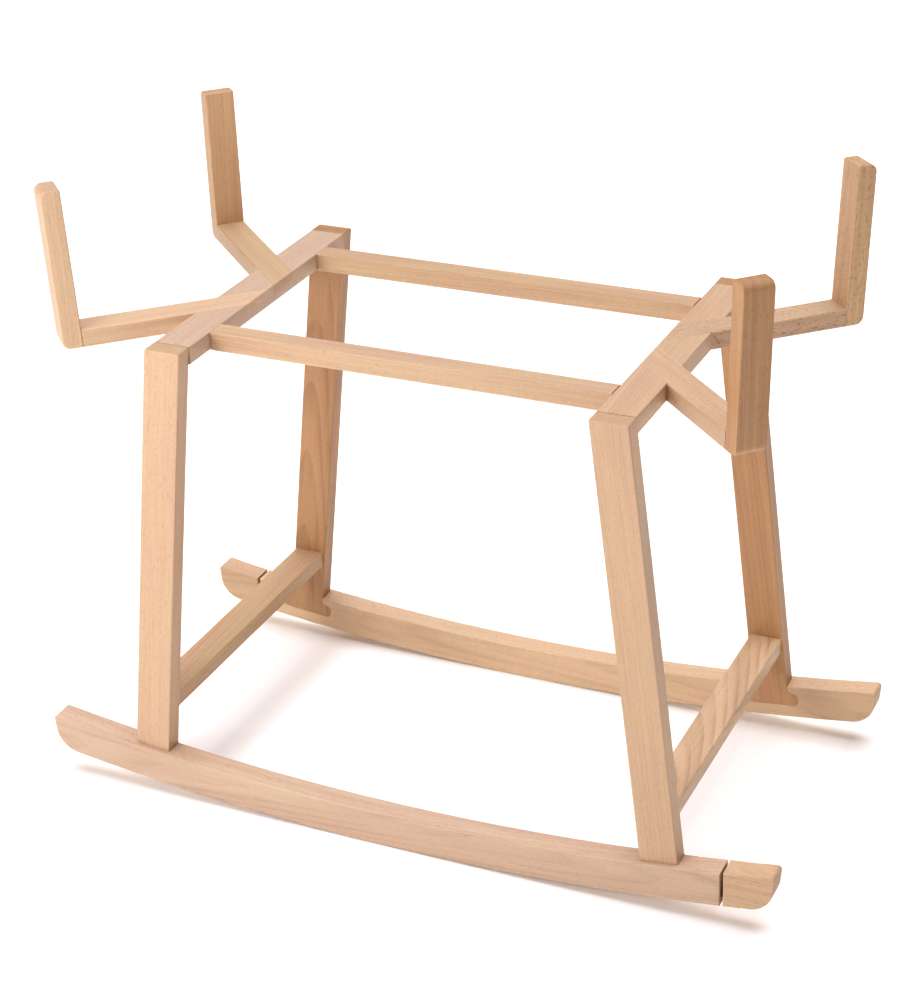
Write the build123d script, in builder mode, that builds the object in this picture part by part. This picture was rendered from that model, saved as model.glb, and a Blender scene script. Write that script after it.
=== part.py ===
"""Rocking stand for a carry basket, in solid beech.

Two curved rockers carry two leg frames that lean towards each other. Two
crossbars tie the frames together, and four L-shaped arms, let into the top
rails on the diagonal, hold the basket at its corners. The end of each rocker,
on opposite corners, is a separate block that swivels on a pin: turned upside
down it reaches the floor and stops the stand from rocking.

Frame: +X along the rockers to the right, +Y to the rear, +Z up. The origin is
on the floor under the middle of the stand. Millimetres.
"""
import os
from math import cos, radians, sin, sqrt, tan

from build123d import *

os.makedirs("parts", exist_ok=True)

# ---------------------------------------------------------------- timber stock
edge_ease = 1.5              # radius on every long edge
leg_width, leg_thickness = 40.0, 21.0
rail_height = 19.0
arm_width = 32.5             # arms and uprights are the same stock
upright_thickness = 21.0
crossbar_depth, crossbar_height = 24.0, 20.0
stretcher_width, stretcher_height = 35.0, 18.0
rocker_height, rocker_thickness = 38.0, 26.0

# ------------------------------------------------------------------- the frame
top_z = 522.0                # top of the rails, where the basket rests
frame_half_length = 256.0    # middle to the outer side of a top rail
leg_inner_y = 171.0          # middle to the inner face of a leg
leg_lean = 6.3               # degrees, feet outwards along X
stretcher_top_z = 114.0
crossbar_outer_y = 130.0
joint_gap = 0.3              # hairline at the joints that come apart

# ----------------------------------------------------------------- the rockers
rocker_radius = 2720.0       # underside; the top is concentric with it
rocker_half_length = 408.0
rocker_end_slope = 6.0       # degrees, the end face tucks in towards the floor
rocker_toe_radius, rocker_heel_radius = 28.0, 4.0
foot_half_width, foot_depth = 31.0, 23.0
foot_shoulder = 9.0          # the foot has flared this far under the rocker's top
foot_neck_radius, foot_shoulder_radius, foot_toe_radius = 5.4, 5.4, 5.0
lap_depth = leg_thickness / 2
foot_seat = 0.2              # keeps the leg's shoulder off the hollow of the rocker
foot_overlap = 1.0           # the foot runs this far up into the leg
same_place = 0.01            # two places closer than this are one

# ------------------------------------------------------------- arms and uprights
arm_angle = 44.0             # degrees from X, in plan
arm_crossing_y = 47.0        # where an arm's middle crosses its rail's middle
arm_reach = 161.0            # from that crossing to the upright
half_lap = rail_height / 2
trench_run = 4 * leg_width   # longer than a rail is wide, measured along the diagonal
upright_height = 170.0
upright_lean = 3.0           # degrees, outwards
upright_top_radius, upright_bottom_radius, upright_inner_radius = 8.0, 9.0, 2.5

# ------------------------------------------------------------- swivelling stops
stop_split_x = 352.5         # where the rocker ends and the gap begins
stop_gap = 3.0
stop_axis_z = 35.0
stop_pin_radius, stop_pin_in_rocker, stop_pin_in_block = 3.0, 24.0, 29.0
stop_bush_outer, stop_bush_length = 5.0, 30.0
stop_running_clearance = 0.05
stop_washer_radius, stop_washer_thickness = 8.0, 2.4

# --------------------------------------------------------------------- fixings
dowel_radius, dowel_length, dowel_in_leg = 4.0, 40.0, 14.0
rail_dowel_spacing, stretcher_dowel_spacing = 20.0, 18.0
slim_dowel_radius, slim_dowel_length = 3.0, 38.0
slim_dowel_spacing, slim_dowel_in_upright = 16.0, 13.0
tie_dowel_radius, tie_dowel_length = 2.5, 30.0
cam_radius, cam_height, cam_setback = 5.5, 12.0, 24.0
cam_slot_length, cam_slot_width, cam_slot_depth = 6.6, 1.2, 2.0
cam_bolt_radius, cam_bolt_in_rail = 3.0, 12.0
tie_offset = 5.0             # cam and dowel sit this far each side of a crossbar's middle
screw_radius, screw_head_radius, screw_length = 2.0, 4.0, 16.0
screw_head_height, screw_spacing = 2.4, 18.0
screw_slot_length, screw_slot_width, screw_slot_depth = 4.2, 0.9, 1.2
bolt_radius, bolt_head_radius, bolt_head_height, bolt_socket_depth = 3.0, 5.5, 5.0, 3.0
bolt_line_y = 14.5           # from a leg's inner face to the bolt up its foot
bolt_head_recess, bolt_in_leg = 1.0, 24.0
insert_radius, insert_bottom, insert_top = 4.5, 6.0, 21.0

# ------------------------------------------------------------- worked-out values
leg_slope = tan(radians(leg_lean))
rail_mid_x = frame_half_length - leg_width / 2
rail_inner_x = frame_half_length - leg_width
rail_mid_z = top_z - rail_height / 2
rail_bottom_z = top_z - rail_height
rocker_top_radius = rocker_radius - rocker_height
rocker_mid_y = leg_inner_y + rocker_thickness / 2
stretcher_mid_z = stretcher_top_z - stretcher_height / 2
stretcher_mid_x = rail_mid_x + leg_slope * (top_z - stretcher_mid_z)
crossbar_mid_y = crossbar_outer_y - crossbar_depth / 2
crossbar_mid_z = top_z - crossbar_height / 2
stop_block_x = stop_split_x + stop_gap
CORNERS = [("front_left", -1, -1), ("front_right", 1, -1), ("rear_left", -1, 1), ("rear_right", 1, 1)]
SIDES = [("left", -1), ("right", 1)]
ENDS = [("front", -1), ("rear", 1)]


def leg_foot_point():
    """Where the middle line of the right legs meets the top of the rocker, as (x, z)."""
    offset = rail_mid_x + leg_slope * (top_z - rocker_radius)
    square = 1 + leg_slope**2
    root = sqrt((offset * leg_slope) ** 2 - square * (offset**2 - rocker_top_radius**2))
    drop = (root - offset * leg_slope) / square
    return offset + leg_slope * drop, rocker_radius - drop


foot_x, foot_z = leg_foot_point()
lean_cos, lean_sin = cos(radians(leg_lean)), sin(radians(leg_lean))
# Across the front right leg is local x and up it is local y; it stands out towards the front.
leg_face = Plane(origin=(foot_x, -leg_inner_y, foot_z), x_dir=(lean_cos, 0, lean_sin), z_dir=(0, -1, 0))
leg_axis = Plane(
    origin=(foot_x, -leg_inner_y - bolt_line_y, foot_z), x_dir=(lean_cos, 0, lean_sin),
    z_dir=(-lean_sin, 0, lean_cos),
)
arm_cos, arm_sin = cos(radians(arm_angle)), sin(radians(arm_angle))
# Along the front right arm is local x; local z is up, from the underside of the rail.
arm_floor = Plane(
    origin=(rail_mid_x, -arm_crossing_y, rail_bottom_z), x_dir=(arm_cos, -arm_sin, 0), z_dir=(0, 0, 1)
)
# The same arm seen from its side: local x along the arm, local y up.
arm_side = Plane(
    origin=(rail_mid_x, -arm_crossing_y, rail_bottom_z), x_dir=(arm_cos, -arm_sin, 0),
    z_dir=(-arm_sin, -arm_cos, 0),
)
# Where the arm meets the upright, looking along the arm.
arm_end = Plane(
    origin=arm_floor.from_local_coords((arm_reach, 0, rail_height / 2)), x_dir=(-arm_sin, -arm_cos, 0),
    z_dir=(arm_cos, -arm_sin, 0),
)


def write(piece, name):
    """Label a finished piece and write it as its own STEP file."""
    piece.part.label = name
    export_step(piece.part, f"parts/{name}.step")


def at_corner(shape, side, end):
    """The front right piece's copy at another corner."""
    if side < 0:
        shape = shape.mirror(Plane.YZ)
    if end > 0:
        shape = shape.mirror(Plane.XZ)
    return shape


def four_of(shape):
    """A shape made at the front right, copied to all four corners as one group."""
    with BuildPart() as group:
        for _, side, end in CORNERS:
            add(at_corner(shape, side, end))
    return group


def two_stops_of(shape):
    """A shape made at the front right stop, with its copy at the rear left one."""
    with BuildPart() as group:
        add(shape)
        add(shape.rotate(Axis.Z, 180))
    return group


def dowels_along_y(middle_x, middle_z, spacing):
    """The pair of dowels that hold a rail or stretcher to the front right leg."""
    start_y = leg_inner_y + dowel_in_leg
    with BuildPart() as pair:
        with BuildSketch(Plane.XZ.offset(start_y)):
            with Locations((middle_x - spacing / 2, middle_z), (middle_x + spacing / 2, middle_z)):
                Circle(dowel_radius)
        extrude(amount=-dowel_length)
    return pair.part


# --------------------------------------------------------------------- fixings
rail_dowels = four_of(dowels_along_y(rail_mid_x, rail_mid_z, rail_dowel_spacing))
stretcher_dowels = four_of(dowels_along_y(stretcher_mid_x, stretcher_mid_z, stretcher_dowel_spacing))

with BuildPart() as upright_dowel_pair:
    with BuildSketch(arm_end.offset(slim_dowel_in_upright)):
        with GridLocations(slim_dowel_spacing, 1, 2, 1):
            Circle(slim_dowel_radius)
    extrude(amount=-slim_dowel_length)
upright_dowels = four_of(upright_dowel_pair.part)

with BuildPart() as crossbar_dowel:
    with BuildSketch(Plane.YZ.offset(rail_inner_x - tie_dowel_length / 2)):
        with Locations((-crossbar_mid_y - tie_offset, crossbar_mid_z)):
            Circle(tie_dowel_radius)
    extrude(amount=tie_dowel_length)
crossbar_dowels = four_of(crossbar_dowel.part)

with BuildPart() as cam_bolt:
    with BuildSketch(Plane.YZ.offset(rail_inner_x - cam_setback)):
        with Locations((-crossbar_mid_y + tie_offset, crossbar_mid_z)):
            Circle(cam_bolt_radius)
    extrude(amount=cam_setback + cam_bolt_in_rail)
cam_bolts = four_of(cam_bolt.part)

with BuildPart() as cam_pocket:
    with BuildSketch(Plane.XY.offset(top_z - crossbar_height)):
        with Locations((rail_inner_x - cam_setback, -crossbar_mid_y + tie_offset)):
            Circle(cam_radius)
    extrude(amount=cam_height)
with BuildPart() as cam_disc:
    add(cam_pocket.part)
    add(cam_bolt.part, mode=Mode.SUBTRACT)
    with BuildSketch(Plane.XY.offset(top_z - crossbar_height)):
        with Locations((rail_inner_x - cam_setback, -crossbar_mid_y + tie_offset)):
            Rectangle(cam_slot_length, cam_slot_width)
            Rectangle(cam_slot_width, cam_slot_length)
    extrude(amount=cam_slot_depth, mode=Mode.SUBTRACT)
cam_discs = four_of(cam_disc.part)
cam_pockets = four_of(cam_pocket.part)

with BuildPart() as arm_screw_hole_pair:
    with BuildSketch(arm_floor):
        with GridLocations(screw_spacing, 1, 2, 1):
            Circle(screw_radius)
    extrude(amount=screw_length)
    for along in (-screw_spacing / 2, screw_spacing / 2):
        with Locations(arm_floor.location * Location((along, 0, screw_head_height / 2))):
            Cone(screw_head_radius, screw_radius, screw_head_height)
with BuildPart() as arm_screw_pair:
    add(arm_screw_hole_pair.part)
    with BuildSketch(arm_floor):
        with GridLocations(screw_spacing, 1, 2, 1):
            Rectangle(screw_slot_length, screw_slot_width)
            Rectangle(screw_slot_width, screw_slot_length)
    extrude(amount=screw_slot_depth, mode=Mode.SUBTRACT)
arm_screws = four_of(arm_screw_pair.part)
arm_screw_holes = four_of(arm_screw_hole_pair.part)

head_bottom = -rocker_height + bolt_head_recess
with BuildPart() as rocker_bolt:
    with BuildSketch(leg_axis.offset(head_bottom)):
        Circle(bolt_radius)
    extrude(amount=bolt_in_leg - head_bottom)
    with BuildSketch(leg_axis.offset(head_bottom)):
        Circle(bolt_head_radius)
    extrude(amount=bolt_head_height)
    with BuildSketch(leg_axis.offset(head_bottom)):
        RegularPolygon(bolt_radius, 6, major_radius=True)
    extrude(amount=bolt_socket_depth, mode=Mode.SUBTRACT)
rocker_bolts = four_of(rocker_bolt.part)

with BuildPart() as bolt_way:
    with BuildSketch(leg_axis.offset(head_bottom)):
        Circle(bolt_radius)
    extrude(amount=bolt_in_leg - head_bottom)
    with BuildSketch(leg_axis.offset(head_bottom + bolt_head_height)):
        Circle(bolt_head_radius)
    extrude(amount=-bolt_head_height - 2 * bolt_head_recess)
bolt_ways = four_of(bolt_way.part)

with BuildPart() as leg_insert:
    with BuildSketch(leg_axis.offset(insert_bottom)):
        Circle(insert_radius)
        Circle(bolt_radius, mode=Mode.SUBTRACT)
    extrude(amount=insert_top - insert_bottom)
leg_inserts = four_of(leg_insert.part)

for name, group in (
    ("rail_dowels", rail_dowels), ("stretcher_dowels", stretcher_dowels),
    ("upright_dowels", upright_dowels), ("crossbar_dowels", crossbar_dowels),
    ("cam_bolts", cam_bolts), ("cam_discs", cam_discs), ("arm_screws", arm_screws),
    ("rocker_bolts", rocker_bolts), ("leg_inserts", leg_inserts),
):
    write(group, name)

# ---------------------------------------------- the stops' pins, bushes and washers
stop_axis = Plane(origin=(stop_split_x, -rocker_mid_y, stop_axis_z), x_dir=(0, 1, 0), z_dir=(1, 0, 0))

with BuildPart() as stop_pin:
    with BuildSketch(stop_axis.offset(-stop_pin_in_rocker)):
        Circle(stop_pin_radius)
    extrude(amount=stop_pin_in_rocker + stop_gap + stop_pin_in_block)
with BuildPart() as stop_washer:
    with BuildSketch(stop_axis.offset((stop_gap - stop_washer_thickness) / 2)):
        Circle(stop_washer_radius)
        Circle(stop_pin_radius, mode=Mode.SUBTRACT)
    extrude(amount=stop_washer_thickness)
with BuildPart() as stop_bush:
    with BuildSketch(stop_axis.offset(stop_gap)):
        Circle(stop_bush_outer)
        Circle(stop_pin_radius + stop_running_clearance, mode=Mode.SUBTRACT)
    extrude(amount=stop_bush_length)
with BuildPart() as stop_bush_hole:
    with BuildSketch(stop_axis.offset(stop_gap)):
        Circle(stop_bush_outer)
    extrude(amount=stop_bush_length)

write(two_stops_of(stop_pin.part), "stop_pins")
write(two_stops_of(stop_washer.part), "stop_washers")
for end, turn in (("front", 0), ("rear", 180)):
    with BuildPart() as bush:
        add(stop_bush.part.rotate(Axis.Z, turn))
    write(bush, f"stop_bush_{end}")

# ------------------------------------------------------------------------ legs
with BuildSketch(leg_face) as foot_outline:
    with Locations((0, foot_overlap)):
        Rectangle(leg_width, foot_depth + foot_overlap, align=(Align.CENTER, Align.MAX))
    with Locations((0, -(foot_depth + foot_shoulder) / 2)):
        Rectangle(2 * foot_half_width, foot_depth - foot_shoulder)
    neck = foot_outline.vertices().filter_by(lambda v: abs(abs(v.X) - leg_width / 2) < same_place)
    fillet(neck.filter_by(lambda v: abs(v.Y + foot_shoulder) < same_place), foot_neck_radius)
    corners = foot_outline.vertices().filter_by(lambda v: abs(abs(v.X) - foot_half_width) < same_place)
    fillet(corners.filter_by(lambda v: abs(v.Y + foot_shoulder) < same_place), foot_shoulder_radius)
    corners = foot_outline.vertices().filter_by(lambda v: abs(v.Y + foot_depth) < same_place)
    fillet(corners, foot_toe_radius)

with BuildPart() as leg_foot:
    with BuildSketch(leg_face):
        add(foot_outline.sketch_local)
    extrude(amount=lap_depth)

with BuildPart() as leg_front_right:
    with BuildSketch(leg_face):
        with Locations((0, foot_seat)):
            Rectangle(leg_width, top_z, align=(Align.CENTER, Align.MIN))
    extrude(amount=leg_thickness)
    split(bisect_by=Plane.XY.offset(top_z), keep=Keep.BOTTOM)
    fillet(leg_front_right.edges().filter_by(Axis(leg_face.origin, leg_face.y_dir)), edge_ease)
    fillet(leg_front_right.faces().sort_by(Axis.Z)[-1].edges().sort_by(Axis.Y)[:-1], edge_ease)
    add(leg_foot.part)
    for fixing in (rail_dowels, stretcher_dowels, bolt_ways, leg_inserts):
        add(fixing.part, mode=Mode.SUBTRACT)

for name, side, end in CORNERS:
    with BuildPart() as leg:
        add(at_corner(leg_front_right.part, side, end))
    write(leg, f"leg_{name}")

# --------------------------------------------------------------------- rockers
top_corner_z = rocker_radius - sqrt(rocker_top_radius**2 - rocker_half_length**2)
toe_x = rocker_half_length - rocker_height * tan(radians(rocker_end_slope))
toe_z = rocker_radius - sqrt(rocker_radius**2 - toe_x**2)

with BuildSketch(Plane.XZ) as rocker_profile:
    with BuildLine():
        ThreePointArc((-toe_x, toe_z), (0, 0), (toe_x, toe_z))
        Line((toe_x, toe_z), (rocker_half_length, top_corner_z))
        ThreePointArc(
            (rocker_half_length, top_corner_z), (0, rocker_height), (-rocker_half_length, top_corner_z)
        )
        Line((-rocker_half_length, top_corner_z), (-toe_x, toe_z))
    make_face()
    fillet(rocker_profile.vertices().group_by(Axis.Y)[0], rocker_toe_radius)
    fillet(rocker_profile.vertices().group_by(Axis.Y)[-1], rocker_heel_radius)


def rocker_stretch(from_x, to_x):
    """The part of the front rocker's full curve that lies between two places along X."""
    with BuildPart() as stretch:
        with BuildSketch(Plane.XZ.offset(leg_inner_y)):
            add(rocker_profile.sketch_local)
            with Locations(((from_x + to_x) / 2, 0)):
                Rectangle(to_x - from_x, rocker_radius, mode=Mode.INTERSECT)
        extrude(amount=rocker_thickness)
        fillet(stretch.faces().filter_by(Axis.Y).edges(), edge_ease)
    return stretch.part


with BuildPart() as lap_recess:
    with BuildSketch(leg_face):
        add(foot_outline.sketch_local)
        offset(amount=joint_gap)
    extrude(amount=lap_depth)

with BuildPart() as rocker_front:
    add(rocker_stretch(-rocker_radius, stop_split_x))
    add(lap_recess.part, mode=Mode.SUBTRACT)
    add(lap_recess.part.mirror(Plane.YZ), mode=Mode.SUBTRACT)
    add(stop_pin.part, mode=Mode.SUBTRACT)
    add(bolt_ways.part, mode=Mode.SUBTRACT)

with BuildPart() as stop_block_front:
    add(rocker_stretch(stop_block_x, rocker_radius))
    add(stop_bush_hole.part, mode=Mode.SUBTRACT)

for end, turn in (("front", 0), ("rear", 180)):
    with BuildPart() as rocker:
        add(rocker_front.part.rotate(Axis.Z, turn))
    write(rocker, f"rocker_{end}")
    with BuildPart() as stop_block:
        add(stop_block_front.part.rotate(Axis.Z, turn))
    write(stop_block, f"stop_block_{end}")

# ------------------------------------------------------------ rails and stretchers
with BuildPart() as arm_trench:
    with BuildSketch(arm_floor.offset(half_lap)):
        Rectangle(trench_run, arm_width)
    extrude(amount=rail_height)

for name, side in SIDES:
    with BuildPart() as top_rail:
        with Locations((side * rail_mid_x, 0, rail_mid_z)):
            Box(leg_width, 2 * leg_inner_y, rail_height)
        fillet(top_rail.edges().filter_by(Axis.Y), edge_ease)
        for _, trench_side, end in CORNERS:
            if trench_side == side:
                add(at_corner(arm_trench.part, side, end), mode=Mode.SUBTRACT)
        for fixing in (rail_dowels, crossbar_dowels, cam_bolts, arm_screw_holes):
            add(fixing.part, mode=Mode.SUBTRACT)
    write(top_rail, f"top_rail_{name}")

    with BuildPart() as stretcher:
        with Locations((side * stretcher_mid_x, 0, stretcher_mid_z)):
            Box(stretcher_width, 2 * leg_inner_y, stretcher_height)
        fillet(stretcher.edges().filter_by(Axis.Y), edge_ease)
        add(stretcher_dowels.part, mode=Mode.SUBTRACT)
    write(stretcher, f"stretcher_{name}")

for name, end in ENDS:
    with BuildPart() as crossbar:
        with Locations((0, end * crossbar_mid_y, crossbar_mid_z)):
            Box(2 * (rail_inner_x - joint_gap), crossbar_depth, crossbar_height)
        fillet(crossbar.edges().filter_by(Axis.X), edge_ease)
        for fixing in (crossbar_dowels, cam_bolts, cam_pockets):
            add(fixing.part, mode=Mode.SUBTRACT)
    write(crossbar, f"crossbar_{name}")

# ------------------------------------------------------------- arms and uprights
lean_slope = tan(radians(upright_lean))
with BuildPart() as upright_front_right:
    with BuildSketch(arm_side) as upright_profile:
        with BuildLine():
            Polyline(
                (arm_reach, 0),
                (arm_reach + upright_thickness, 0),
                (arm_reach + upright_thickness + lean_slope * upright_height, upright_height),
                (arm_reach + lean_slope * upright_height, upright_height),
                close=True,
            )
        make_face()
        fillet(upright_profile.vertices().group_by(Axis.Y)[0].sort_by(Axis.X)[-1], upright_bottom_radius)
        fillet(upright_profile.vertices().group_by(Axis.Y)[-1].sort_by(Axis.X)[-1], upright_top_radius)
        fillet(upright_profile.vertices().group_by(Axis.Y)[-1].sort_by(Axis.X)[0], upright_inner_radius)
    extrude(amount=arm_width / 2, both=True)
    fillet(upright_front_right.faces().filter_by(Axis((0, 0, 0), arm_side.z_dir)).edges(), edge_ease)
    add(upright_dowels.part, mode=Mode.SUBTRACT)

upright_plane = Plane(
    origin=arm_floor.from_local_coords((arm_reach, 0, 0)), x_dir=(-arm_sin, -arm_cos, 0),
    z_dir=(Vector(arm_cos, -arm_sin, -lean_slope)).normalized(),
)
with BuildPart() as arm_bar:
    with BuildSketch(arm_floor):
        Rectangle(2 * (arm_reach + arm_width), arm_width)
    extrude(amount=rail_height)
    fillet(arm_bar.edges().filter_by(Axis((0, 0, 0), arm_floor.x_dir)), edge_ease)
    split(bisect_by=upright_plane, keep=Keep.BOTTOM)
    split(bisect_by=Plane.YZ.offset(frame_half_length), keep=Keep.TOP)

with BuildPart() as arm_lap:
    with BuildSketch(arm_floor.offset(half_lap)):
        Rectangle(trench_run, arm_width)
    extrude(amount=half_lap)
    with Locations((rail_mid_x, -arm_crossing_y, top_z)):
        Box(leg_width, trench_run, trench_run, mode=Mode.INTERSECT)
    fillet(arm_lap.edges().filter_by(Axis.Y).group_by(Axis.Z)[-1].sort_by(Axis.X)[0], edge_ease)

with BuildPart() as arm_front_right:
    add(arm_bar.part)
    add(arm_lap.part)
    add(arm_screw_holes.part, mode=Mode.SUBTRACT)
    add(upright_dowels.part, mode=Mode.SUBTRACT)

for name, side, end in CORNERS:
    with BuildPart() as arm:
        add(at_corner(arm_front_right.part, side, end))
    write(arm, f"arm_{name}")
    with BuildPart() as upright:
        add(at_corner(upright_front_right.part, side, end))
    write(upright, f"upright_{name}")
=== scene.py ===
"""The looks of the rocking stand: solid beech, its fixings, the studio and the camera.

The stand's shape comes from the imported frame, and every piece keeps its place there.
Each beech member gets its own board: a grain direction, a way of sawing and a tone,
so that no two pieces show the same figure. Lengths are metres, and names that end in
_mm are millimetres.
"""

import logging
import math
from dataclasses import dataclass, field
from enum import Enum
from typing import Any

import bpy
from mathutils import Euler, Matrix, Vector


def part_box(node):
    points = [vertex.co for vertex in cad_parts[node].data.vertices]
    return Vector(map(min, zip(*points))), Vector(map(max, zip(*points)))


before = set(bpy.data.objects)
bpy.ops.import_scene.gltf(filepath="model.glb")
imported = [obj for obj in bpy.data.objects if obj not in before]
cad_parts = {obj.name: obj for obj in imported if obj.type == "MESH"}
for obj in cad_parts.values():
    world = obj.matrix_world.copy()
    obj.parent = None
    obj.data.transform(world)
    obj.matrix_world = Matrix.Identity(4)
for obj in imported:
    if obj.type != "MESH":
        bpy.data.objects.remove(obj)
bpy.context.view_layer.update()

log = logging.getLogger("rocking_stand")

MM = 0.001
LEFT, RIGHT = -1, 1
FRONT, REAR = -1, 1
SIDE_NAMES = {LEFT: "left", RIGHT: "right"}
END_NAMES = {FRONT: "front", REAR: "rear"}


def srgb(code: str) -> tuple[float, float, float, float]:
    """Turn an sRGB hex colour into the linear colour that shaders take.

    Args:
        code: the colour as "#RRGGBB".

    Returns:
        Linear red, green, blue and an alpha of 1.
    """
    channels = [int(code[i:i + 2], 16) / 255 for i in (1, 3, 5)]
    linear = [c / 12.92 if c <= 0.04045 else ((c + 0.055) / 1.055) ** 2.4 for c in channels]
    return (*linear, 1.0)


def add_node(
    tree: bpy.types.NodeTree,
    kind: str,
    settings: dict[str, Any] | None = None,
    inputs: dict[int | str, Any] | None = None,
) -> bpy.types.Node:
    """Add one node with its settings, values and links.

    Args:
        tree: the node tree it goes in.
        kind: the node's type, without the "ShaderNode" in front.
        settings: attributes of the node itself.
        inputs: for each socket, another node's output to link or a value to set.

    Returns:
        The new node.
    """
    node = tree.nodes.new(kind if kind.startswith("Node") else "ShaderNode" + kind)
    for name, value in (settings or {}).items():
        setattr(node, name, value)
    for key, value in (inputs or {}).items():
        if isinstance(value, bpy.types.NodeSocket):
            tree.links.new(value, node.inputs[key])
        else:
            node.inputs[key].default_value = value
    return node


def per_metre(*sizes_mm: float) -> tuple[float, ...]:
    """Count how often features of these sizes fit in a metre.

    Args:
        sizes_mm: the features' size along each axis.

    Returns:
        The scale along each axis.
    """
    return tuple(1 / (size * MM) for size in sizes_mm)


def corner_name(part: str, end: int, side: int) -> str:
    """Name the node of a part that there is at each corner.

    Args:
        part: the part's name.
        end: FRONT or REAR.
        side: LEFT or RIGHT.

    Returns:
        The node's name.
    """
    return f"{part}_{END_NAMES[end]}_{SIDE_NAMES[side]}"


class GrainCut(Enum):
    """How a board was sawn: the growth rings' roll about the grain, in degrees."""

    FLAT = 4.0        # rings lie along the face: broad arches
    RIFT = 38.0       # rings cross the face at a slant: loose straight lines
    QUARTER = 82.0    # rings stand on the face: fine straight lines and ray flecks


class Tone(Enum):
    """A board's own pair of colours, its yellower and its pinker wood."""

    CREAM = ("#DABC99", "#D9B896")    # the lightest
    PALE = ("#CFB498", "#CEAE95")     # a cool greyish pink
    ROSY = ("#D0B18D", "#CEAB8B")     # a warm peach, the common one
    STRAW = ("#D5B287", "#D2AB84")    # light and yellow
    HONEY = ("#CDAE87", "#CBA785")    # a shade deeper and yellower than rosy
    # The darkest pair: the rear legs' own browner wood, and painted shade on the front right upright.
    TAN = ("#C39A6D", "#C1946B")      # the darkest


@dataclass(frozen=True)
class Board:
    """One piece of solid beech.

    Attributes:
        node: the piece that is made of it.
        grain: the direction that its fibres run in.
        face: the normal of its broad face.
        cut: how it was sawn.
        tone: its colours.
        seed: a number that no other board has.
        ring_mm: the width of a year's growth.
        pith_mm: how far under the face the tree's heart lay.
        taper: how much the rings slant along the board.
        figure: how strongly the rings show, 1 on a plain board.
        flecks: how strongly the ray flecks show, 1 on a plain board.
    """

    node: str
    grain: Vector
    face: Vector
    cut: GrainCut
    tone: Tone
    seed: int
    ring_mm: float = 2.6
    pith_mm: float = 70.0
    taper: float = 0.02
    figure: float = 1.0
    flecks: float = 1.0

    def axes(self) -> Matrix:
        """Find the board's own axes.

        Returns:
            A rotation: along the grain, round the rings and out from the heart.
        """
        along = self.grain.normalized()
        out = (self.face - self.face.dot(along) * along).normalized()
        across = out.cross(along)
        upright = Matrix((along, across, out)).transposed()
        return upright @ Matrix.Rotation(math.radians(self.cut.value), 3, "X")


# ---------------------------------------------------------------------------- finishes


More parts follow.
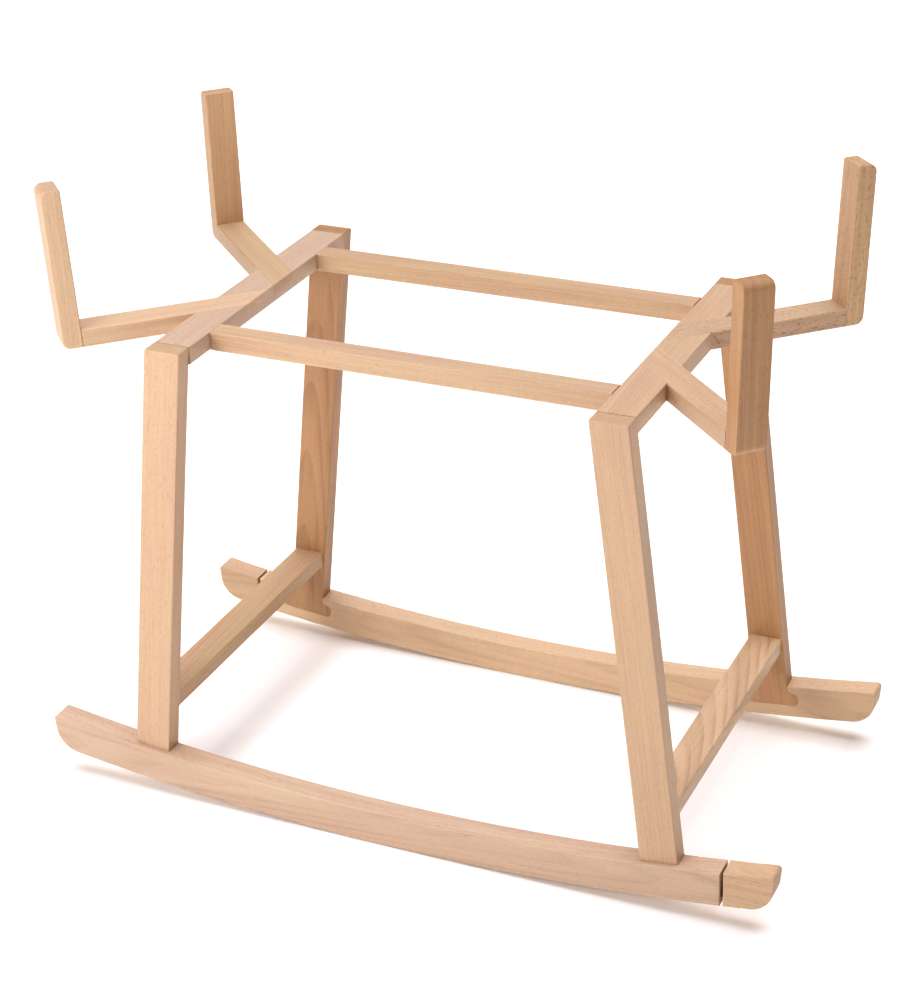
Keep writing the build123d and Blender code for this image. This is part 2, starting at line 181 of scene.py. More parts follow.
@dataclass(frozen=True)
class LacqueredBeech:
    """Planed and sanded solid beech under a clear matt lacquer.

    It gives the eye a pale pinkish tan with soft growth bands, fine straight streaks
    and the short dark ray flecks that only beech has, under a faint satin shine.
    Beech pores are under 0.1 mm, so streaks and flecks are drawn two to four times as
    coarse as they are, to show at arm's length. Sizes in threes are along the grain,
    round the rings and out from the heart.

    Attributes:
        sway_mm: the size of the slow bends in the growth rings.
        sway_depth_mm: how far those bends go.
        ripple_mm: the size of the small waves in the rings.
        ripple_depth_mm: how far the waves go.
        streak_mm: the size of the fine streaks of pores.
        patch_mm: the size of the patches of pinker and of plainer wood.
        fleck_mm: the size of the ray flecks.
        late_wood: the shares of a year where its dark wood begins and ends.
        years_per_band: how many years pass between darker bands.
        patch_edge, plain_edge: how soft the patches' edges are in tone and in figure.
        plain_least: how much of the rings is left in the plainest patch.
        fleck_range: the pattern's values between which a fleck fades in.
        end_range: how far a face turns to the grain before it counts as end grain.
        ring_depth, band_depth, streak_depth, fleck_depth, end_depth: how dark each is.
        darkening: how fast red, green and blue fall off as the wood gets darker.
        roughness, streak_roughness, end_roughness: the sanded face, and what is added.
        ior, lacquer, lacquer_roughness: the clear coat.
        relief_mm, relief_strength: the grain that can be felt.
        ring_relief, fleck_relief: how much of it rings and flecks have beside streaks.
        seed_step: how far apart the boards lie in the pattern, in metres.
    """

    sway_mm: tuple[float, float, float] = (420.0, 70.0, 70.0)
    sway_depth_mm: float = 11.0
    ripple_mm: tuple[float, float, float] = (55.0, 9.0, 9.0)
    ripple_depth_mm: float = 0.9
    streak_mm: tuple[float, float, float] = (75.0, 1.5, 1.5)
    patch_mm: tuple[float, float, float] = (170.0, 17.0, 17.0)
    fleck_mm: tuple[float, float, float] = (4.5, 0.8, 2.2)
    ring_depth: float = 0.10
    band_depth: float = 0.20
    streak_depth: float = 0.22
    fleck_depth: float = 0.10
    end_depth: float = 0.10
    roughness: float = 0.52
    ior: float = 1.5
    lacquer: float = 0.12
    lacquer_roughness: float = 0.38
    relief_mm: float = 0.05
    relief_strength: float = 0.6
    late_wood: tuple[float, float] = (0.35, 0.93)
    years_per_band: float = 1 / 0.55
    patch_edge: float = 0.22
    plain_edge: float = 0.16
    plain_least: float = 0.15
    fleck_range: tuple[float, float] = (0.06, 0.26)
    end_range: tuple[float, float] = (0.55, 0.95)
    darkening: tuple[float, float, float] = (-0.82, -1.0, -1.16)
    streak_roughness: float = 0.10
    end_roughness: float = 0.12
    ring_relief: float = -0.4
    fleck_relief: float = -0.5
    seed_step: tuple[float, float, float] = (0.37, 0.71, 0.53)

    def figure_group(self) -> bpy.types.NodeTree:
        """Build the node group that draws beech in a board's own axes.

        Returns:
            A group that takes a place in the board and gives colour, roughness and height.
        """
        name = "beech_figure"
        if name in bpy.data.node_groups:
            return bpy.data.node_groups[name]
        tree = bpy.data.node_groups.new(name, "ShaderNodeTree")
        for socket, kind in (
            ("Place", "NodeSocketVector"), ("Seed", "NodeSocketVector"), ("Yellower", "NodeSocketColor"),
            ("Pinker", "NodeSocketColor"), ("End Grain", "NodeSocketFloat"), ("Pith", "NodeSocketFloat"),
            ("Taper", "NodeSocketFloat"), ("Rings", "NodeSocketFloat"), ("Figure", "NodeSocketFloat"),
            ("Flecks", "NodeSocketFloat"),
        ):
            tree.interface.new_socket(socket, in_out="INPUT", socket_type=kind)
        for socket, kind in (
            ("Color", "NodeSocketColor"), ("Roughness", "NodeSocketFloat"), ("Height", "NodeSocketFloat"),
        ):
            tree.interface.new_socket(socket, in_out="OUTPUT", socket_type=kind)
        given = add_node(tree, "NodeGroupInput").outputs

        shifted = add_node(tree, "VectorMath", {"operation": "ADD"}, {0: given["Place"], 1: given["Seed"]})

        def pattern(sizes_mm: tuple[float, float, float], detail: float) -> bpy.types.NodeSocket:
            """Draw a soft pattern.

            Args:
                sizes_mm: the size of its features along the board's axes.
                detail: how many finer patterns are laid over it.

            Returns:
                The pattern, round about 0.
            """
            scaled = add_node(
                tree, "VectorMath", {"operation": "MULTIPLY"},
                {0: shifted.outputs[0], 1: per_metre(*sizes_mm)},
            )
            noise = add_node(
                tree, "TexNoise", {}, {"Vector": scaled.outputs[0], "Scale": 1.0, "Detail": detail}
            )
            return add_node(
                tree, "Math", {"operation": "SUBTRACT"}, {0: noise.outputs["Fac"], 1: 0.5}
            ).outputs[0]

        def weighted(terms: list[tuple[bpy.types.NodeSocket, Any]]) -> bpy.types.NodeSocket:
            """Add values up.

            Args:
                terms: each value with its weight.

            Returns:
                The sum of the values, each times its weight.
            """
            total = 0.0
            for value, weight in terms:
                total = add_node(
                    tree, "Math", {"operation": "MULTIPLY_ADD"}, {0: value, 1: weight, 2: total}
                ).outputs[0]
            return total

        sway, ripple = pattern(self.sway_mm, 1.0), pattern(self.ripple_mm, 1.0)
        streak, patch = pattern(self.streak_mm, 3.0), pattern(self.patch_mm, 2.0)

        # Growth rings: how far a place is from the tree's heart, counted in years.
        place = add_node(tree, "SeparateXYZ", {}, {0: given["Place"]}).outputs
        out = add_node(
            tree, "Math", {"operation": "MULTIPLY_ADD"}, {0: place["X"], 1: given["Taper"], 2: place["Z"]}
        )
        from_pith = add_node(tree, "Math", {"operation": "ADD"}, {0: out.outputs[0], 1: given["Pith"]})
        section = add_node(tree, "CombineXYZ", {}, {"Y": place["Y"], "Z": from_pith.outputs[0]})
        radius = add_node(tree, "VectorMath", {"operation": "LENGTH"}, {0: section.outputs[0]})
        bent = weighted([
            (radius.outputs["Value"], 1.0),
            (sway, self.sway_depth_mm * MM), (ripple, self.ripple_depth_mm * MM),
        ])
        years = add_node(tree, "Math", {"operation": "MULTIPLY"}, {0: bent, 1: given["Rings"]})
        season = add_node(tree, "Math", {"operation": "FRACT"}, {0: years.outputs[0]})
        late = add_node(
            tree, "MapRange", {"interpolation_type": "SMOOTHSTEP"},
            {"Value": season.outputs[0], "From Min": self.late_wood[0], "From Max": self.late_wood[1]},
        )
        winter = add_node(
            tree, "MapRange", {"interpolation_type": "SMOOTHSTEP"},
            {
                "Value": season.outputs[0], "From Min": self.late_wood[1], "From Max": 1.0,
                "To Min": 1.0, "To Max": 0.0,
            },
        )
        ring = add_node(tree, "Math", {"operation": "MULTIPLY"}, {0: late.outputs[0], 1: winter.outputs[0]})
        good_years = add_node(
            tree, "TexNoise", {"noise_dimensions": "1D"},
            {"W": years.outputs[0], "Scale": 1 / self.years_per_band, "Detail": 1.0},
        )
        band = add_node(tree, "Math", {"operation": "SUBTRACT"}, {0: 0.5, 1: good_years.outputs["Fac"]})

        # Rays: short dark dashes on a flat-sawn face, broad flecks on a quarter-sawn one.
        flecks = add_node(
            tree, "MapRange", {"interpolation_type": "SMOOTHSTEP"},
            {
                "Value": pattern(self.fleck_mm, 0.0), "To Max": given["Flecks"],
                "From Min": self.fleck_range[0], "From Max": self.fleck_range[1],
            },
        )

        plain = add_node(
            tree, "MapRange", {"interpolation_type": "SMOOTHSTEP"},
            {
                "Value": patch, "From Min": -self.plain_edge, "From Max": self.plain_edge,
                "To Min": self.plain_least, "To Max": 1.0,
            },
        )
        rings = add_node(tree, "Math", {"operation": "MULTIPLY"}, {0: ring.outputs[0], 1: plain.outputs[0]})
        figured = weighted([(rings.outputs[0], self.ring_depth), (band.outputs[0], self.band_depth)])
        figured = add_node(tree, "Math", {"operation": "MULTIPLY"}, {0: figured, 1: given["Figure"]})
        dark = weighted([
            (figured.outputs[0], 1.0), (streak, -self.streak_depth),
            (flecks.outputs[0], self.fleck_depth), (given["End Grain"], self.end_depth),
        ])
        pink = add_node(
            tree, "MapRange", {"interpolation_type": "SMOOTHSTEP"},
            {"Value": patch, "From Min": -self.patch_edge, "From Max": self.patch_edge},
        )
        wood = add_node(
            tree, "Mix", {"data_type": "RGBA"},
            {"Factor": pink.outputs[0], 6: given["Yellower"], 7: given["Pinker"]},
        )
        # Darker wood is also redder, so the blue falls off faster than the red.
        shade = add_node(
            tree, "VectorMath", {"operation": "SCALE"}, {0: self.darkening, "Scale": dark}
        )
        colour = add_node(
            tree, "VectorMath", {"operation": "MULTIPLY_ADD"},
            {0: wood.outputs[2], 1: shade.outputs[0], 2: wood.outputs[2]},
        )
        roughness = weighted([
            (streak, self.streak_roughness), (given["End Grain"], self.end_roughness),
        ])
        roughness = add_node(tree, "Math", {"operation": "ADD"}, {0: roughness, 1: self.roughness})
        height = weighted([
            (streak, 1.0), (ring.outputs[0], self.ring_relief), (flecks.outputs[0], self.fleck_relief),
        ])
        add_node(
            tree, "NodeGroupOutput", {},
            {"Color": colour.outputs[0], "Roughness": roughness.outputs[0], "Height": height},
        )
        return tree

    def material(self, board: Board) -> bpy.types.Material:
        """Make the lacquered beech of one board.

        Args:
            board: the board that the piece was cut from.

        Returns:
            A material whose figure runs along that board.
        """
        lo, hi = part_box(board.node)
        made = bpy.data.materials.new(f"beech_lacquered_{board.node}")
        made.use_nodes = True
        tree = made.node_tree
        tree.nodes.clear()
        given = add_node(tree, "TexCoord").outputs
        place = add_node(
            tree, "Mapping", {"vector_type": "TEXTURE"},
            {
                "Vector": given["Object"], "Location": (lo + hi) / 2,
                "Rotation": board.axes().to_euler(),
            },
        )
        facing = add_node(
            tree, "VectorMath", {"operation": "DOT_PRODUCT"},
            {0: given["Normal"], 1: board.grain.normalized()},
        )
        turned = add_node(tree, "Math", {"operation": "ABSOLUTE"}, {0: facing.outputs["Value"]})
        end_grain = add_node(
            tree, "MapRange", {"interpolation_type": "SMOOTHSTEP"},
            {"Value": turned.outputs[0], "From Min": self.end_range[0], "From Max": self.end_range[1]},
        )
        yellower, pinker = (srgb(code) for code in board.tone.value)
        figure = add_node(
            tree, "Group", {"node_tree": self.figure_group()},
            {
                "Place": place.outputs[0], "Seed": Vector(self.seed_step) * board.seed,
                "Yellower": yellower, "Pinker": pinker, "End Grain": end_grain.outputs[0],
                "Pith": board.pith_mm * MM, "Taper": board.taper, "Rings": 1 / (board.ring_mm * MM),
                "Figure": board.figure, "Flecks": board.flecks,
            },
        )
        relief = add_node(
            tree, "Bump", {},
            {
                "Height": figure.outputs["Height"], "Strength": self.relief_strength,
                "Distance": self.relief_mm * MM,
            },
        )
        shader = add_node(
            tree, "BsdfPrincipled", {},
            {
                "Base Color": figure.outputs["Color"], "Roughness": figure.outputs["Roughness"],
                "Normal": relief.outputs[0], "IOR": self.ior,
                "Coat Weight": self.lacquer, "Coat Roughness": self.lacquer_roughness,
            },
        )
        add_node(tree, "OutputMaterial", {}, {"Surface": shader.outputs[0]})
        return made


def dress_boards(boards: list[Board], finish: LacqueredBeech) -> None:
    """Give each board's node its own beech.

    Args:
        boards: the boards of one sub-assembly.
        finish: how the wood is finished.
    """
    for board in boards:
        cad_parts[board.node].data.materials[0] = finish.material(board)
        log.info("%s: %s-sawn beech", board.node, board.cut.name.lower())


@dataclass(frozen=True)
class SmallPartFinish:
    """The finish of a small fixing: one colour with a fine mottle and a little relief.

    Attributes:
        name: the real material and how its surface was made.
        colour: its colour.
        darker: the colour of its darker spots.
        metallic: 1 for a metal, 0 for the rest.
        roughness: its middle roughness.
        swing: how far the mottle moves the roughness up and down.
        mottle_mm: the size of the mottle along X, Y and Z.
        relief_mm: the depth of its surface marks.
        ior: its index of refraction.
        detail: how many finer patterns are laid over the mottle.
        mottle_range: the mottle's values at its smoothest and its roughest.
        relief_strength: how strongly the marks show.
    """

    name: str
    colour: str
    darker: str
    metallic: float
    roughness: float
    swing: float
    mottle_mm: tuple[float, float, float]
    relief_mm: float
    ior: float = 1.5
    detail: float = 3.0
    mottle_range: tuple[float, float] = (0.3, 0.7)
    relief_strength: float = 0.6

    def material(self) -> bpy.types.Material:
        """Make the material, or find it when another piece has it already.

        Returns:
            The material.
        """
        if self.name in bpy.data.materials:
            return bpy.data.materials[self.name]
        made = bpy.data.materials.new(self.name)
        made.use_nodes = True
        tree = made.node_tree
        tree.nodes.clear()
        place = add_node(
            tree, "VectorMath", {"operation": "MULTIPLY"},
            {0: add_node(tree, "TexCoord").outputs["Object"], 1: per_metre(*self.mottle_mm)},
        )
        mottle = add_node(
            tree, "TexNoise", {}, {"Vector": place.outputs[0], "Scale": 1.0, "Detail": self.detail}
        ).outputs["Fac"]
        colour = add_node(
            tree, "Mix", {"data_type": "RGBA"},
            {"Factor": mottle, 6: srgb(self.colour), 7: srgb(self.darker)},
        )
        roughness = add_node(
            tree, "MapRange", {},
            {
                "Value": mottle, "From Min": self.mottle_range[0], "From Max": self.mottle_range[1],
                "To Min": self.roughness - self.swing, "To Max": self.roughness + self.swing,
            },
        )
        relief = add_node(
            tree, "Bump", {},
            {"Height": mottle, "Strength": self.relief_strength, "Distance": self.relief_mm * MM},
        )
        shader = add_node(
            tree, "BsdfPrincipled", {},
            {
                "Base Color": colour.outputs[2], "Roughness": roughness.outputs[0],
                "Metallic": self.metallic, "Normal": relief.outputs[0], "IOR": self.ior,
            },
        )
        add_node(tree, "OutputMaterial", {}, {"Surface": shader.outputs[0]})
        return made


# Bare wood, a shade yellower and duller than the lacquered members.
TURNED_BEECH = SmallPartFinish(
    "beech_bare_turned", "#CFAE80", "#B98F63", 0.0, 0.68, 0.06, (0.9, 0.9, 0.9), 0.03
)
# A cool grey shine that is a little uneven, as bright plating is.
ZINC_PLATE = SmallPartFinish(
    "steel_zinc_plated_bright", "#C9CCCF", "#AEB2B8", 1.0, 0.30, 0.07, (2.2, 2.2, 2.2), 0.01
)
# Duller and greyer than plate, with the faint orange-peel of a casting.
CAST_ZINC = SmallPartFinish(
    "zinc_die_cast", "#B3B5B6", "#8F9193", 1.0, 0.46, 0.08, (1.1, 1.1, 1.1), 0.03
)
# Warm yellow metal with fine rings round the turning axis, which is upright here.
TURNED_BRASS = SmallPartFinish(
    "brass_turned", "#D9B871", "#BF9A52", 1.0, 0.32, 0.06, (6.0, 6.0, 0.25), 0.02
)
# Near-black with the soft sheen of moulded plastic.
MOULDED_NYLON = SmallPartFinish(
    "nylon_moulded_black", "#211E1C", "#2B2826", 0.0, 0.50, 0.06, (0.7, 0.7, 0.7), 0.02, 1.53
)


# ----------------------------------------------------------------------- sub-assemblies


@dataclass
class Rockers:
    """The two curved rockers and the swivelling block at one end of each.

    Attributes:
        finish: how the wood is finished.
        boards: the boards they are cut from.
    """

    finish: LacqueredBeech
    boards: list[Board] = field(default_factory=list)

    def build(self) -> None:
        """Choose the boards: flat-sawn rockers with long arches, quarter-sawn blocks."""
        along, forward = Vector((1, 0, 0)), Vector((0, -1, 0))
        self.boards = [
            Board(
                "rocker_front", along, forward, GrainCut.FLAT, Tone.PALE, 1,
                ring_mm=3.6, pith_mm=42, taper=0.035, figure=1.25,
            ),
            Board(
                "rocker_rear", along, forward, GrainCut.FLAT, Tone.CREAM, 2,
                ring_mm=3.4, pith_mm=60, taper=-0.03, figure=1.1,
            ),
            Board(
                "stop_block_front", along, forward, GrainCut.QUARTER, Tone.ROSY, 3,
                ring_mm=3.0, pith_mm=80, taper=0.01, figure=1.1,
            ),
            Board(
                "stop_block_rear", along, forward, GrainCut.RIFT, Tone.ROSY, 4,
                ring_mm=3.0, pith_mm=60, taper=0.02, figure=1.0,
            ),
        ]

    def dress(self) -> None:
        """Finish the rockers and blocks."""
        dress_boards(self.boards, self.finish)


@dataclass
class LegFrames:
    """Four legs that lean outwards, and the low stretcher in each frame.

    Attributes:
        finish: how the wood is finished.
        lean_deg: how far the feet lean outwards.
        boards: the boards they are cut from.
    """

    finish: LacqueredBeech
    lean_deg: float = 6.3
    boards: list[Board] = field(default_factory=list)

    def leg(
        self, end: int, side: int, cut: GrainCut, tone: Tone, seed: int, **rings: float
    ) -> Board:
        """One leg's board, with its grain down its lean.

        Args:
            end: FRONT or REAR.
            side: LEFT or RIGHT.
            cut: how the board was sawn.
            tone: its colours.
            seed: a number that no other board has.
            rings: the board's other values, by name.

        Returns:
            The leg's board.
        """
        lean = math.radians(self.lean_deg)
        grain = Vector((-side * math.sin(lean), 0, math.cos(lean)))
        return Board(corner_name("leg", end, side), grain, Vector((0, -1, 0)), cut, tone, seed, **rings)

    def build(self) -> None:
        """Choose the boards: plain front legs, darker figured rear ones, a lively right stretcher."""
        rear, up = Vector((0, 1, 0)), Vector((0, 0, 1))
        self.boards = [
            self.leg(
                FRONT, LEFT, GrainCut.QUARTER, Tone.ROSY, 5,
                ring_mm=2.8, pith_mm=90, taper=0.006, figure=0.5,
            ),
            self.leg(
                FRONT, RIGHT, GrainCut.RIFT, Tone.ROSY, 6,
                ring_mm=2.4, pith_mm=90, taper=0.008, figure=0.6,
            ),
            self.leg(
                REAR, LEFT, GrainCut.FLAT, Tone.TAN, 7,
                ring_mm=5.4, pith_mm=36, taper=0.06, figure=2.2,
            ),
            self.leg(
                REAR, RIGHT, GrainCut.RIFT, Tone.TAN, 8,
                ring_mm=3.0, pith_mm=60, taper=0.02, figure=0.9,
            ),
            Board(
                "stretcher_left", rear, up, GrainCut.RIFT, Tone.HONEY, 9,
                ring_mm=3.0, pith_mm=50, taper=0.03, figure=1.2,
            ),
            Board(
                "stretcher_right", rear, up, GrainCut.RIFT, Tone.CREAM, 10,
                ring_mm=6.0, pith_mm=40, taper=0.15, figure=2.4,
            ),
        ]

    def dress(self) -> None:
        """Finish the legs and stretchers."""
        dress_boards(self.boards, self.finish)


@dataclass
class TopFrame:
    """The two top rails and the crossbars between them.

    Attributes:
        finish: how the wood is finished.
        boards: the boards they are cut from.
    """

    finish: LacqueredBeech
    boards: list[Board] = field(default_factory=list)

    def build(self) -> None:
        """Choose the boards: quiet rails, straight-grained crossbars."""
        right, rear, up = Vector((1, 0, 0)), Vector((0, 1, 0)), Vector((0, 0, 1))
        self.boards = [
            Board(
                "top_rail_left", rear, up, GrainCut.QUARTER, Tone.PALE, 11,
                ring_mm=2.6, pith_mm=90, taper=0.01, figure=0.6,
            ),
            Board(
                "top_rail_right", rear, up, GrainCut.RIFT, Tone.ROSY, 12,
                ring_mm=2.4, pith_mm=70, taper=0.02, figure=0.9,
            ),
            Board(
                "crossbar_front", right, up, GrainCut.RIFT, Tone.ROSY, 13,
                ring_mm=2.2, pith_mm=60, taper=0.012, figure=1.0,
            ),
            Board(
                "crossbar_rear", right, up, GrainCut.RIFT, Tone.HONEY, 14,
                ring_mm=2.2, pith_mm=60, taper=-0.014, figure=1.0,
            ),
        ]

    def dress(self) -> None:
        """Finish the rails and crossbars."""
        dress_boards(self.boards, self.finish)


@dataclass
class BasketArms:
    """Four diagonal arms let into the rails, each with its upright.

    Attributes:
        finish: how the wood is finished.
        arm_angle_deg: the arms' angle from the long side, seen from above.
        upright_lean_deg: how far the uprights lean outwards.
        boards: the boards they are cut from.
    """

    finish: LacqueredBeech
    arm_angle_deg: float = 44.0
    upright_lean_deg: float = 3.0
    boards: list[Board] = field(default_factory=list)

    def outward(self, end: int, side: int) -> Vector:
        """Find the direction that an arm reaches out in.

        Args:
            end: FRONT or REAR.
            side: LEFT or RIGHT.

        Returns:
            A level unit vector.
        """
        angle = math.radians(self.arm_angle_deg)
        return Vector((side * math.cos(angle), end * math.sin(angle), 0))

    def arm(
        self, end: int, side: int, cut: GrainCut, tone: Tone, seed: int, **rings: float
    ) -> Board:
        """One arm's board, with its grain along the arm.

        Args:
            end: FRONT or REAR.
            side: LEFT or RIGHT.
            cut: how the board was sawn.
            tone: its colours.
            seed: a number that no other board has.
            rings: the board's other values, by name.

        Returns:
            The arm's board.
        """
        outward, up = self.outward(end, side), Vector((0, 0, 1))
        return Board(corner_name("arm", end, side), outward, up, cut, tone, seed, **rings)

    def upright(
        self, end: int, side: int, cut: GrainCut, tone: Tone, seed: int, **rings: float
    ) -> Board:
        """One upright's board, with its grain up its lean.

        Args:
            end: FRONT or REAR.
            side: LEFT or RIGHT.
            cut: how the board was sawn.
            tone: its colours.
            seed: a number that no other board has.
            rings: the board's other values, by name.

        Returns:
            The upright's board.
        """
        outward = self.outward(end, side)
        lean = math.radians(self.upright_lean_deg)
        grain = outward * math.sin(lean) + Vector((0, 0, math.cos(lean)))
        return Board(corner_name("upright", end, side), grain, outward, cut, tone, seed, **rings)

    def build(self) -> None:
        """Choose the boards: light arms, one of them flecky, and one upright given the darkest tone as
        painted shade.
        """
        self.boards = [
            self.arm(
                FRONT, LEFT, GrainCut.RIFT, Tone.CREAM, 15,
                ring_mm=2.4, pith_mm=70, taper=0.02, figure=0.7,
            ),
            self.arm(
                FRONT, RIGHT, GrainCut.QUARTER, Tone.ROSY, 16,
                ring_mm=2.6, pith_mm=70, taper=0.02, figure=0.8,
            ),
            self.arm(
                REAR, LEFT, GrainCut.RIFT, Tone.HONEY, 17,
                ring_mm=3.4, pith_mm=80, taper=0.01, figure=0.4,
            ),
            self.arm(
                REAR, RIGHT, GrainCut.FLAT, Tone.ROSY, 18,
                ring_mm=2.6, pith_mm=70, taper=0.02, figure=1.0, flecks=3.5,
            ),
            self.upright(
                FRONT, LEFT, GrainCut.RIFT, Tone.CREAM, 19,
                ring_mm=2.6, pith_mm=70, taper=0.02, figure=0.8,
            ),
            # Painted shade: the darkest tone on this upright stands in for the shade that falls on its
            # broad outer face.
            self.upright(FRONT, RIGHT, GrainCut.QUARTER, Tone.TAN, 20),
            self.upright(
                REAR, LEFT, GrainCut.RIFT, Tone.STRAW, 21,
                ring_mm=3.6, pith_mm=60, taper=0.02, figure=0.7,
            ),
            self.upright(
                REAR, RIGHT, GrainCut.FLAT, Tone.STRAW, 22,
                ring_mm=2.6, pith_mm=70, taper=0.02, figure=1.0, flecks=2.2,
            ),
        ]

    def dress(self) -> None:
        """Finish the arms and uprights."""
        dress_boards(self.boards, self.finish)


@dataclass
class Fixings:
    """The dowels, screws, bolts, cams, inserts, pins, bushes and washers.

    Attributes:
        round_mm: how much of each sharp edge of metal or nylon is taken off.
        round_steps: how many facets that takes.
        sharp_deg: from what angle an edge counts as sharp.
        finishes: the finish of each set.
    """

    round_mm: float = 0.3
    round_steps: int = 2
    sharp_deg: float = 40.0
    finishes: dict[str, SmallPartFinish] = field(default_factory=dict)

    def build(self) -> None:
        """Choose the finish of each set of fixings."""
        self.finishes = {
            "rail_dowels": TURNED_BEECH, "stretcher_dowels": TURNED_BEECH,
            "upright_dowels": TURNED_BEECH, "crossbar_dowels": TURNED_BEECH,
            "cam_bolts": ZINC_PLATE, "arm_screws": ZINC_PLATE,
            "rocker_bolts": ZINC_PLATE, "stop_pins": ZINC_PLATE,
            "cam_discs": CAST_ZINC, "leg_inserts": TURNED_BRASS,
            "stop_washers": MOULDED_NYLON,
            "stop_bush_front": MOULDED_NYLON, "stop_bush_rear": MOULDED_NYLON,
        }

    def dress(self) -> None:
        """Finish the fixings, and take the knife edge off the metal and nylon ones."""
        for node, finish in self.finishes.items():
            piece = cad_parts[node]
            piece.data.materials[0] = finish.material()
            if finish is not TURNED_BEECH:
                soften = piece.modifiers.new("broken_edges", "BEVEL")
                soften.width = self.round_mm * MM
                soften.segments = self.round_steps
                soften.angle_limit = math.radians(self.sharp_deg)
                soften.harden_normals = True
            log.info("%s: %s", node, finish.name)


# ------------------------------------------------------------------------------- studio


@dataclass(frozen=True)
class Sun:
    """An even soft light, far enough away to light the whole floor alike.

    Attributes:
        name: the light's name.
        toward: the direction from the stand to the light.
        strength: its strength.
        spread_deg: how wide it looks from the stand, which softens its shadows.
        colour: its colour.
    """

    name: str
    toward: tuple[float, float, float]
    strength: float
    spread_deg: float
    colour: str

    def hang(self) -> None:
        """Put the light in the scene."""
        lamp = bpy.data.lights.new(self.name, "SUN")
        lamp.energy = self.strength
        lamp.angle = math.radians(self.spread_deg)
        lamp.color = srgb(self.colour)[:3]
        hung = bpy.data.objects.new(self.name, lamp)
        hung.rotation_euler = Vector(self.toward).to_track_quat("Z", "Y").to_euler()
        bpy.context.scene.collection.objects.link(hung)


@dataclass(frozen=True)
class Softbox:
    """A square softbox on a stand, which lights what is near it more.

    Attributes:
        name: the light's name.
        place: where its middle is.
        aim: the place that it points at.
        watts: its power.
        size: its width and depth.
        colour: its colour.
    """

    name: str
    place: tuple[float, float, float]
    aim: tuple[float, float, float]
    watts: float
    size: tuple[float, float]
    colour: str

    def hang(self) -> None:
        """Put the light in the scene."""
        lamp = bpy.data.lights.new(self.name, "AREA")
        lamp.shape = "RECTANGLE"
        lamp.size, lamp.size_y = self.size
        lamp.energy = self.watts
        lamp.color = srgb(self.colour)[:3]
        hung = bpy.data.objects.new(self.name, lamp)
        hung.location = self.place
        away = Vector(self.place) - Vector(self.aim)
        hung.rotation_euler = away.to_track_quat("Z", "Y").to_euler()
        bpy.context.scene.collection.objects.link(hung)


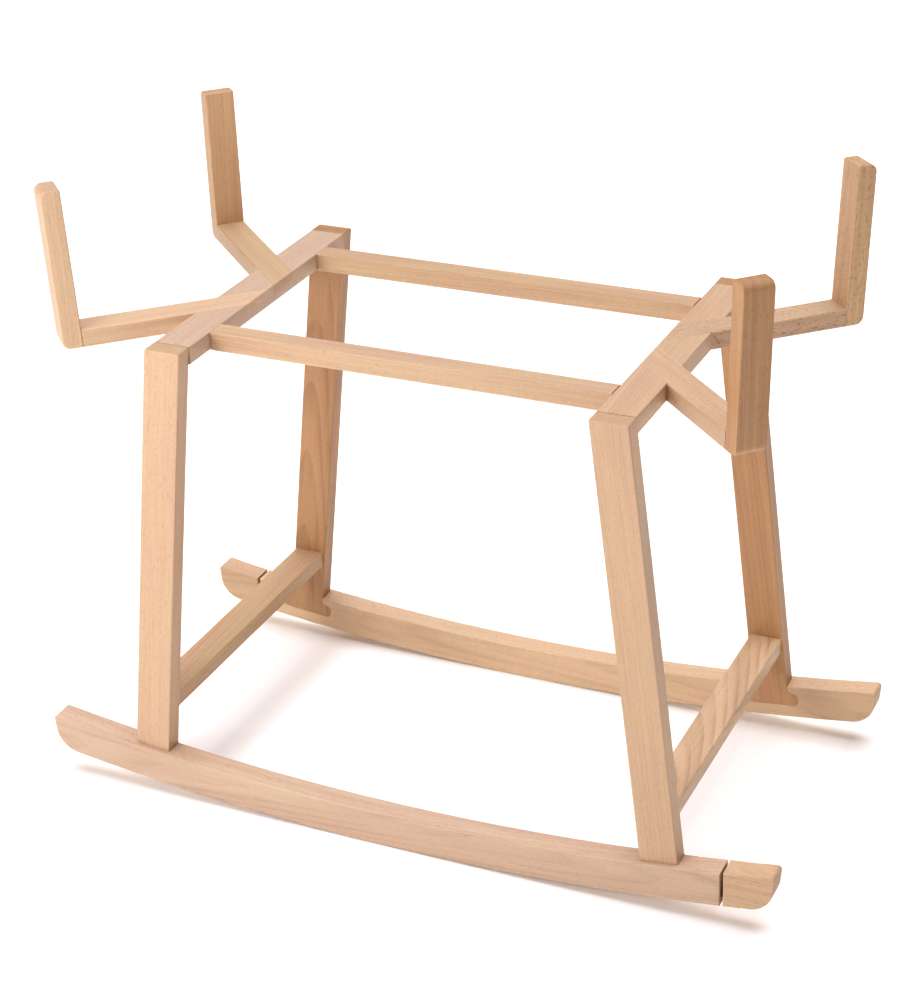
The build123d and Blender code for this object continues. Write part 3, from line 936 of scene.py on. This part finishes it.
@dataclass
class Studio:
    """A plain white floor, soft light from the front left and above, and the camera.

    Attributes:
        floor_half: half the floor's width, so far that its edge is out of sight.
        floor_colour, floor_glow: the sheet's white, and the light that comes up through it.
        floor_roughness, floor_specular: its matt face.
        air_colour, air_strength: the warm light of the room round the stand.
        contrast: the view's gamma, under 1 for deeper and warmer shades.
        lights: the lights on their stands.
        camera_place: where the camera stands.
        camera_yaw_deg, camera_pitch_deg, camera_roll_deg: where it looks.
        camera_lens, camera_shift_y: its focal length in mm, and the lens's rise.
    """

    floor_half: float = 14.0
    floor_colour: str = "#FFFDFA"
    floor_glow: float = 0.07
    floor_roughness: float = 0.9
    floor_specular: float = 0.1
    air_colour: str = "#FFB870"
    air_strength: float = 0.08
    contrast: float = 0.84
    lights: tuple[Sun | Softbox, ...] = (
        Sun("overhead_light", toward=(0.0, 0.05, 1.0), strength=3.5, spread_deg=58.0, colour="#EBF2FF"),
        Softbox(
            "front_left_softbox", place=(-0.6, -1.45, 0.95), aim=(0.0, 0.0, 0.3),
            watts=16.0, size=(0.7, 0.7), colour="#FAFBFF",
        ),
        Softbox(
            "right_softbox", place=(0.9, 0.7, 2.1), aim=(0.1, 0.0, 0.4),
            watts=3.2, size=(0.8, 0.8), colour="#FFD29A",
        ),
        Softbox(
            "backdrop_light", place=(-1.0, 3.4, 2.6), aim=(-1.0, 3.4, 0.0),
            watts=55.0, size=(4.0, 2.6), colour="#F6F8FF",
        ),
    )
    camera_place: tuple[float, float, float] = (0.954, -2.075, 1.4535)
    camera_yaw_deg: float = 24.64
    camera_pitch_deg: float = -23.74
    camera_roll_deg: float = -1.658
    camera_lens: float = 87.27
    camera_shift_y: float = -0.12

    def lay_floor(self) -> None:
        """Lay a matt white floor, lit a little from below, that runs out of sight."""
        half = self.floor_half
        mesh = bpy.data.meshes.new("floor")
        corners = [(-half, -half, 0), (half, -half, 0), (half, half, 0), (-half, half, 0)]
        mesh.from_pydata(corners, [], [(0, 1, 2, 3)])
        # White without shine, and lit from under itself so that shadows on it stay faint.
        acrylic = bpy.data.materials.new("acrylic_matt_white_backlit")
        acrylic.use_nodes = True
        shader = acrylic.node_tree.nodes["Principled BSDF"]
        shader.inputs["Base Color"].default_value = srgb(self.floor_colour)
        shader.inputs["Roughness"].default_value = self.floor_roughness
        shader.inputs["Specular IOR Level"].default_value = self.floor_specular
        shader.inputs["Emission Color"].default_value = srgb(self.floor_colour)
        shader.inputs["Emission Strength"].default_value = self.floor_glow
        mesh.materials.append(acrylic)
        floor = bpy.data.objects.new("floor", mesh)
        bpy.context.scene.collection.objects.link(floor)

    def hang_lights(self) -> None:
        """Hang the lights and fill the air with a little more."""
        for light in self.lights:
            light.hang()
        world = bpy.data.worlds.new("studio_air")
        world.use_nodes = True
        air = world.node_tree.nodes["Background"]
        air.inputs["Color"].default_value = srgb(self.air_colour)
        air.inputs["Strength"].default_value = self.air_strength
        bpy.context.scene.world = world
        bpy.context.scene.view_settings.view_transform = "Standard"
        bpy.context.scene.view_settings.gamma = self.contrast

    def set_camera(self) -> None:
        """Stand the camera to the front right of the stand, at the height of an adult's eyes."""
        data = bpy.data.cameras.new("camera")
        data.lens = self.camera_lens
        data.shift_y = self.camera_shift_y
        camera = bpy.data.objects.new("camera", data)
        turn = Euler((math.radians(90 + self.camera_pitch_deg), 0, math.radians(self.camera_yaw_deg)))
        roll = Matrix.Rotation(math.radians(self.camera_roll_deg), 3, "Z")
        camera.rotation_euler = (turn.to_matrix() @ roll).to_euler()
        camera.location = self.camera_place
        bpy.context.scene.collection.objects.link(camera)
        bpy.context.scene.camera = camera


def main() -> None:
    """Build every sub-assembly in order, then the studio."""
    logging.basicConfig(level=logging.INFO, format="%(name)s: %(message)s")
    beech = LacqueredBeech()
    assemblies = (Rockers(beech), LegFrames(beech), TopFrame(beech), BasketArms(beech), Fixings())
    for assembly in assemblies:
        assembly.build()
        assembly.dress()
    studio = Studio()
    studio.lay_floor()
    studio.hang_lights()
    studio.set_camera()


if __name__ == "__main__":
    main()
